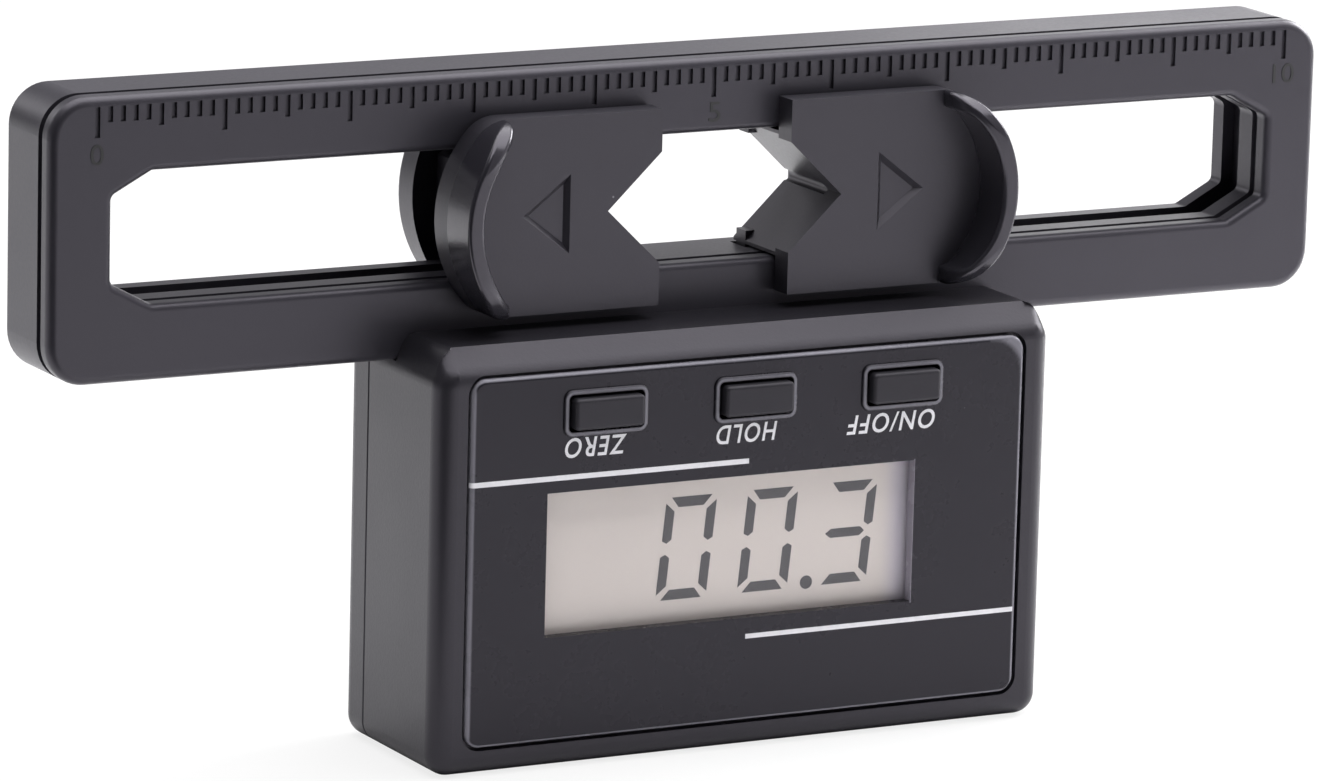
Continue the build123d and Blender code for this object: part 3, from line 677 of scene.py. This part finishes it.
turns = [math.pi / 2 * i / EDGE_STEPS for i in range(EDGE_STEPS + 1)]
upper = [(-0.2, PANEL_Y, 0, -1)] + [rounded_end(turn) for turn in turns]
lower = [(-0.1, PANEL_Y, 0, -1), (22.95, PANEL_Y, 0, -1)]
for name, path, z0, z1 in (("upper_line", upper, 21.83, 22.22), ("lower_line", lower, 8.42, 8.78)):
    piece(name, ribbon(name, path, z0, z1), "gauge", white_print)

# %% [markdown]
# ## Lettering
#
# The key legends are printed upside down, so that they read right when the
# gauge hangs from a rotor blade. Text objects give the letters. They are made
# into meshes, fitted to a measured rectangle, turned, and merged so that each
# letter is closed.

# %% Text as fitted solids
EXTRUDE = 0.05


def lettering(name, words, box, surface_y, material, turned=False, slant=0.0, thin=0.0, proud=INK,
              apart=1.0):
    """Words fitted to box = (x0, x1, z0, z1) in millimetres on the plane at surface_y."""
    curve = bpy.data.curves.new(name, "FONT")
    curve.body = words
    curve.shear = slant
    curve.offset = thin
    curve.space_character = apart
    curve.extrude = EXTRUDE
    curve.resolution_u = 5
    holder = bpy.data.objects.new(name + "_text", curve)
    bpy.context.scene.collection.objects.link(holder)
    bpy.context.view_layer.update()
    ready = holder.evaluated_get(bpy.context.evaluated_depsgraph_get())
    mesh = bpy.data.meshes.new_from_object(ready)
    bpy.data.objects.remove(holder)
    xs = [v.co.x for v in mesh.vertices]
    ys = [v.co.y for v in mesh.vertices]
    x0, x1, z0, z1 = box
    wide = (x1 - x0) / (max(xs) - min(xs))
    high = (z1 - z0) / (max(ys) - min(ys))
    grow = Matrix.Diagonal((wide, high, proud / EXTRUDE, 1))
    centre = Matrix.Translation((-(max(xs) + min(xs)) / 2, -(max(ys) + min(ys)) / 2, 0))
    spin = Matrix.Rotation(math.pi if turned else 0.0, 4, "Z")
    stand = Matrix.Rotation(math.pi / 2, 4, "X")
    place = Matrix.Translation(((x0 + x1) / 2, surface_y, (z0 + z1) / 2))
    mesh.transform(Matrix.Scale(MM, 4) @ place @ stand @ spin @ grow @ centre)
    bm = bmesh.new()
    bm.from_mesh(mesh)
    bmesh.ops.remove_doubles(bm, verts=bm.verts, dist=1e-7)
    bmesh.ops.recalc_face_normals(bm, faces=bm.faces)
    bm.to_mesh(mesh)
    bm.free()
    mesh.name = name
    piece(name, mesh, "gauge", material)


LEGENDS = {
    "legend_zero": ("ZERO", (-15.6, -10.5, 23.45, 24.95)),
    "legend_hold": ("HOLD", (-3.0, 2.1, 23.45, 24.9)),
    "legend_power": ("ON/OFF", (8.05, 15.6, 23.3, 24.78)),
}
for name, (words, box) in LEGENDS.items():
    lettering(name, words, box, PANEL_Y, white_print, turned=True, slant=0.2, thin=0.012,
              apart=1.16)

# The scale's numerals are engraved; these dark proud strokes are a painted shadow, standing in for the shade
# inside the grooves.
NUMERALS = {
    "numeral_0": ("0", (-50.25, -49.2, 46.1, 47.6)),
    "numeral_5": ("5", (-0.1, 0.9, 46.2, 47.7)),
    "numeral_10": ("10", (49.4, 51.3, 46.2, 47.7)),
}
for name, (words, box) in NUMERALS.items():
    lettering(name, words, box, 0.0, chip_black, proud=0.04)

# %% [markdown]
# ## Return springs
#
# Each jaw is pulled home by a long close-wound spring in a channel of the rail.
# In CAD it is a plain tube. Here it is wound wire with a hook at each end. A
# spring follows a rule, so Geometry Nodes wind it: a spiral for the coil, two
# rings for the hooks, and a round profile swept along all three. The result
# becomes a plain mesh that lies where the tube lay, between the rail and its jaw.

# %% A tree that winds a spring
def new_tree(name, inputs):
    """Geometry Nodes tree with an output and named number inputs."""
    tree = bpy.data.node_groups.new(name, "GeometryNodeTree")
    tree.interface.new_socket("Geometry", in_out="OUTPUT", socket_type="NodeSocketGeometry")
    for label, kind in inputs.items():
        tree.interface.new_socket(label, in_out="INPUT", socket_type=kind)
    entry = tree.nodes.new("NodeGroupInput")
    return tree, {label: Socket(tree, entry.outputs[label]) for label in inputs}


def close_tree(tree, parts, material):
    """Joins the parts, makes them real, gives them a material and ends the tree."""
    start = Socket(tree)
    joined = tree.nodes.new("GeometryNodeJoinGeometry")
    for part in parts:
        tree.links.new(part.output, joined.inputs[0])
    real = start.node("GeometryNodeRealizeInstances", {}, {0: Socket(tree, joined.outputs[0])})
    dressed = start.node("GeometryNodeSetMaterial", {}, {"Geometry": real, "Material": material})
    start.node("NodeGroupOutput", {}, {0: dressed})


def grown(name, tree, values):
    """Runs a tree on an empty object and returns its result as a plain mesh."""
    holder = bpy.data.objects.new(name, bpy.data.meshes.new(name))
    bpy.context.scene.collection.objects.link(holder)
    modifier = holder.modifiers.new(name, "NODES")
    modifier.node_group = tree
    for item in tree.interface.items_tree:
        if item.in_out == "INPUT":
            modifier[item.identifier] = values[item.name]
    ready = holder.evaluated_get(bpy.context.evaluated_depsgraph_get())
    mesh = bpy.data.meshes.new_from_object(ready)
    holder.modifiers.remove(modifier)
    bpy.data.objects.remove(holder)
    return mesh


FLOAT = "NodeSocketFloat"
WHOLE = "NodeSocketInt"


def spring_tree():
    tree, given = new_tree("wound spring", {
        "Low": FLOAT, "High": FLOAT, "Y": FLOAT, "Z": FLOAT, "Turns": FLOAT,
        "Coil radius": FLOAT, "Hook radius": FLOAT, "Wire radius": FLOAT})
    start = Socket(tree)
    hook = given["Hook radius"]
    wire = given["Wire radius"]
    inset = hook + wire
    length = given["High"] - given["Low"] - inset * 2
    spiral = start.node("GeometryNodeCurveSpiral", {}, {
        "Resolution": 14, "Rotations": given["Turns"], "Start Radius": given["Coil radius"],
        "End Radius": given["Coil radius"], "Height": length})
    begin = start.node("ShaderNodeCombineXYZ", {}, {0: given["Low"] + inset, 1: given["Y"], 2: given["Z"]})
    coil = start.node("GeometryNodeTransform", {}, {
        "Geometry": spiral, "Translation": begin, "Rotation": (0, math.pi / 2, 0)})
    paths = [coil]
    for end in ("Low", "High"):
        ring = start.node("GeometryNodeCurvePrimitiveCircle", {}, {"Resolution": 24, "Radius": hook})
        centre = start.node("ShaderNodeCombineXYZ", {}, {0: given[end], 1: given["Y"], 2: given["Z"]})
        paths.append(start.node("GeometryNodeTransform", {}, {
            "Geometry": ring, "Translation": centre, "Rotation": (math.pi / 2, 0, 0)}))
    profile = start.node("GeometryNodeCurvePrimitiveCircle", {}, {"Resolution": 6, "Radius": wire})
    swept = [start.node("GeometryNodeCurveToMesh", {}, {
        "Curve": path, "Profile Curve": profile, "Fill Caps": True}) for path in paths]
    close_tree(tree, swept, spring_steel)
    return tree


# %% Wind both springs
WIRE_D = 0.24
COIL_D = 1.2
HOOK_R = 0.56
HOOK_OUT = 0.68
SPRING_TURNS = 160.0
spring_nodes = spring_tree()
for side in ("left", "right"):
    node = f"{side}_return_spring"
    low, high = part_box(node)
    values = {"Low": low.x + HOOK_OUT * MM, "High": high.x - HOOK_OUT * MM, "Y": (low.y + high.y) / 2,
              "Z": (low.z + high.z) / 2, "Turns": SPRING_TURNS, "Coil radius": (COIL_D - WIRE_D) / 2 * MM,
              "Hook radius": HOOK_R * MM, "Wire radius": WIRE_D / 2 * MM}
    mesh = grown(f"{side}_spring", spring_nodes, values)
    spring = bpy.data.objects.new(f"{side}_spring_wire", mesh)
    bpy.context.scene.collection.objects.link(spring)
    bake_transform(spring)
    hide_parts(node)
    print(spring.name, "faces:", len(mesh.polygons))

# %% [markdown]
# ## Grip ribs on the battery door
#
# Small radial ribs round the door help a thumb to turn it. One low rib repeated
# round a circle is a job for instances: points on a circle, each with a
# squashed ball turned to point outwards.

# %% Ribs by instancing
def rib_tree():
    tree, given = new_tree("door ribs", {
        "Count": WHOLE, "Ring radius": FLOAT, "Rib length": FLOAT, "Rib width": FLOAT, "Rib height": FLOAT})
    start = Socket(tree)
    ring = start.node("GeometryNodeMeshCircle", {}, {
        "Vertices": given["Count"], "Radius": given["Ring radius"]})
    ball = start.node("GeometryNodeMeshUVSphere", {}, {"Segments": 10, "Rings": 6, "Radius": 1.0})
    size = start.node("ShaderNodeCombineXYZ", {}, {
        0: given["Rib length"] * 0.5, 1: given["Rib width"] * 0.5, 2: given["Rib height"]})
    position = start.node("GeometryNodeInputPosition")
    turn = start.node("FunctionNodeAlignRotationToVector", {"axis": "X", "pivot_axis": "Z"}, {
        "Vector": position})
    ribs = start.node("GeometryNodeInstanceOnPoints", {}, {
        "Points": ring, "Instance": ball, "Rotation": turn, "Scale": size})
    close_tree(tree, [ribs], case_plastic)
    return tree


door_low, door_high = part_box("battery_door")
ribs = grown("door_ribs", rib_tree(), {
    "Count": 48, "Ring radius": 10.75 * MM, "Rib length": 0.9 * MM,
    "Rib width": 0.5 * MM, "Rib height": 0.14 * MM})
stand_up = Matrix.Rotation(math.pi / 2, 4, "X")
door_centre = (door_low + door_high) / 2
ribs.transform(Matrix.Translation((door_centre.x, door_high.y, door_centre.z)) @ stand_up)
piece("door_ribs", ribs, "battery_door", case_plastic)

# %% [markdown]
# ## Floor and background
#
# The photograph's ground is plain white. The floor is a pale sheet that looks
# almost white to the camera, and still keeps the soft shadow under the case. No
# extra light falls on the object for that: only camera and transmission rays
# see the added white. Mirrored in the plastic, the floor is plain lit paper.
#
# The sheet has a corner cut out at the front left, out of the picture, because
# the rounded edges that mirror that side are dark in the photograph.

# %% Floor
PAPER_WHITE = rgba(0.86, 0.86, 0.86)
GLOW_SHARE = 0.8


def shown_to_viewer(tree):
    """1 for rays that see the background, 0 for rays that light the object."""
    path = tree.nodes.new("ShaderNodeLightPath")
    seen, through = (Socket(tree, path.outputs[name]) for name in ("Is Camera Ray", "Is Transmission Ray"))
    return seen.maths("MAXIMUM", seen, through)


def make_floor():
    material = bpy.data.materials.new("pale floor")
    material.use_nodes = True
    tree = material.node_tree
    paper = tree.nodes["Principled BSDF"]
    paper.inputs["Base Color"].default_value = PAPER_WHITE
    paper.inputs["Roughness"].default_value = 0.9
    start = Socket(tree)
    glow = start.node("ShaderNodeEmission", {}, {"Color": rgba(1, 1, 1), "Strength": 1.0})
    seen = shown_to_viewer(tree) * GLOW_SHARE
    both = start.node("ShaderNodeMixShader", {}, {0: seen, 1: Socket(tree, paper.outputs[0]), 2: glow})
    tree.links.new(both.output, tree.nodes["Material Output"].inputs[0])
    return material


FLOOR_HALF = 3.0
FLOOR_Z = -5e-5
SHEET = [(-0.03, -FLOOR_HALF), (FLOOR_HALF, -FLOOR_HALF), (FLOOR_HALF, FLOOR_HALF),
         (-FLOOR_HALF, FLOOR_HALF), (-FLOOR_HALF, 0.1), (-0.055, -0.03)]
floor_mesh = bpy.data.meshes.new("floor")
floor_mesh.from_pydata([(x, y, FLOOR_Z) for x, y in SHEET], [], [(0, 1, 2, 5), (5, 2, 3, 4)])
floor_mesh.materials.append(make_floor())
floor = bpy.data.objects.new("floor", floor_mesh)
bpy.context.scene.collection.objects.link(floor)
print("floor corners:", len(SHEET))

# %% [markdown]
# ## Light
#
# Dark satin plastic shows mostly what it mirrors, so the surroundings matter
# more than the lamps: a pale tent that grows brighter towards the right, is
# dark below the horizon, and has one dark opening where the photographer stood.
# Edges that face the camera mirror that opening, and go dark, as in the
# photograph. A large soft box overhead lights everything, two small ones behind
# and one low at the right add shape. Lamps, floor and camera are placed in
# metres.

# %% World and lamps
CAMERA_TURN = math.radians(-28.12)
CAMERA_RISE = math.radians(12.116)
CAMERA_ROLL = math.radians(1.48)
OPENING_FROM = math.radians(24)
OPENING_TO = math.radians(58)
OPENING_LEVEL = 0.1
LOW_LEVEL = 0.06
LEFT_LEVEL = 0.22
back = Vector((math.sin(CAMERA_TURN) * math.cos(CAMERA_RISE),
               -math.cos(CAMERA_TURN) * math.cos(CAMERA_RISE), math.sin(CAMERA_RISE)))
world = bpy.data.worlds.new("tent")
world.use_nodes = True
bpy.context.scene.world = world
sky = world.node_tree
sky.nodes.clear()
start = Socket(sky)
direction = start.node("ShaderNodeTexCoord", {}, {}, 0)
facing = start.node("ShaderNodeVectorMath", {"operation": "DOT_PRODUCT"}, {0: direction, 1: back}, 1)
opening = start.node("ShaderNodeMapRange", {"interpolation_type": "SMOOTHSTEP"}, {
    "Value": facing, "From Min": math.cos(OPENING_TO), "From Max": math.cos(OPENING_FROM),
    "To Min": 1.0, "To Max": OPENING_LEVEL})
sideways = start.node("ShaderNodeSeparateXYZ", {}, {0: direction}, 0)
upward = start.node("ShaderNodeSeparateXYZ", {}, {0: direction}, 2)
above = start.node("ShaderNodeMapRange", {"interpolation_type": "SMOOTHSTEP"}, {
    "Value": upward, "From Min": -0.12, "From Max": 0.05, "To Min": LOW_LEVEL, "To Max": 1.0})
rising = -0.02 + sideways * 1.1
level = opening * above * rising.maths("MAXIMUM", rising, LEFT_LEVEL)
path = sky.nodes.new("ShaderNodeLightPath")
is_camera = Socket(sky, path.outputs["Is Camera Ray"])
tent = start.node("ShaderNodeBackground", {}, {"Color": rgba(0.98, 0.97, 1.0), "Strength": level})
plain = start.node("ShaderNodeBackground", {}, {"Color": rgba(1, 1, 1), "Strength": 1.0})
either = start.node("ShaderNodeMixShader", {}, {0: is_camera, 1: tent, 2: plain})
start.node("ShaderNodeOutputWorld", {}, {0: either})


def soft_lamp(name, place, aim, size, power):
    """Square area lamp that looks from place to aim."""
    lamp = bpy.data.lights.new(name, "AREA")
    lamp.size = size
    lamp.energy = power
    holder = bpy.data.objects.new(name, lamp)
    bpy.context.scene.collection.objects.link(holder)
    away = Vector(place) - Vector(aim)
    turn = away.to_track_quat("Z", "Y").to_matrix().to_4x4()
    holder.matrix_world = Matrix.Translation(place) @ turn
    print(name, power, "W")


soft_lamp("overhead_box", (0.1, 0.02, 0.75), (0.1, 0.02, 0.0), 0.95, 10.0)
soft_lamp("rear_left_box", (-0.3, 0.45, 0.32), (-0.1, 0.12, 0.0), 0.3, 0.7)
soft_lamp("rear_right_box", (0.5, 0.5, 0.22), (0.03, 0.0, 0.05), 0.36, 0.5)
soft_lamp("right_box", (0.24, 0.04, 0.14), (0.11, -0.02, 0.0), 0.14, 0.8)

# %% [markdown]
# ## Camera
#
# The viewing angle, roll and distance were fitted to edges of the object whose
# true directions are known. The lens follows from them, for a picture that is
# 1322 wide and 781 high.

# %% Camera
PICTURE_WIDTH = 1322
FOCAL_PIXELS = 7902.6
SENSOR = 36
right = Vector((math.cos(CAMERA_TURN), math.sin(CAMERA_TURN), 0))
up = back.cross(right)
tilted_right = math.cos(CAMERA_ROLL) * right + math.sin(CAMERA_ROLL) * up
tilted_up = -math.sin(CAMERA_ROLL) * right + math.cos(CAMERA_ROLL) * up
axes = Matrix((tilted_right, tilted_up, back)).transposed().to_4x4()
lens = bpy.data.cameras.new("camera")
lens.lens = FOCAL_PIXELS * SENSOR / PICTURE_WIDTH
lens.sensor_width = SENSOR
lens.clip_start = 0.02
lens.clip_end = 20
camera = bpy.data.objects.new("camera", lens)
bpy.context.scene.collection.objects.link(camera)
camera.matrix_world = Matrix.Translation((-0.275906, -0.509736, 0.150091)) @ axes
bpy.context.scene.camera = camera
bpy.context.scene.view_settings.view_transform = "Standard"
print("lens", round(lens.lens, 1), "mm")
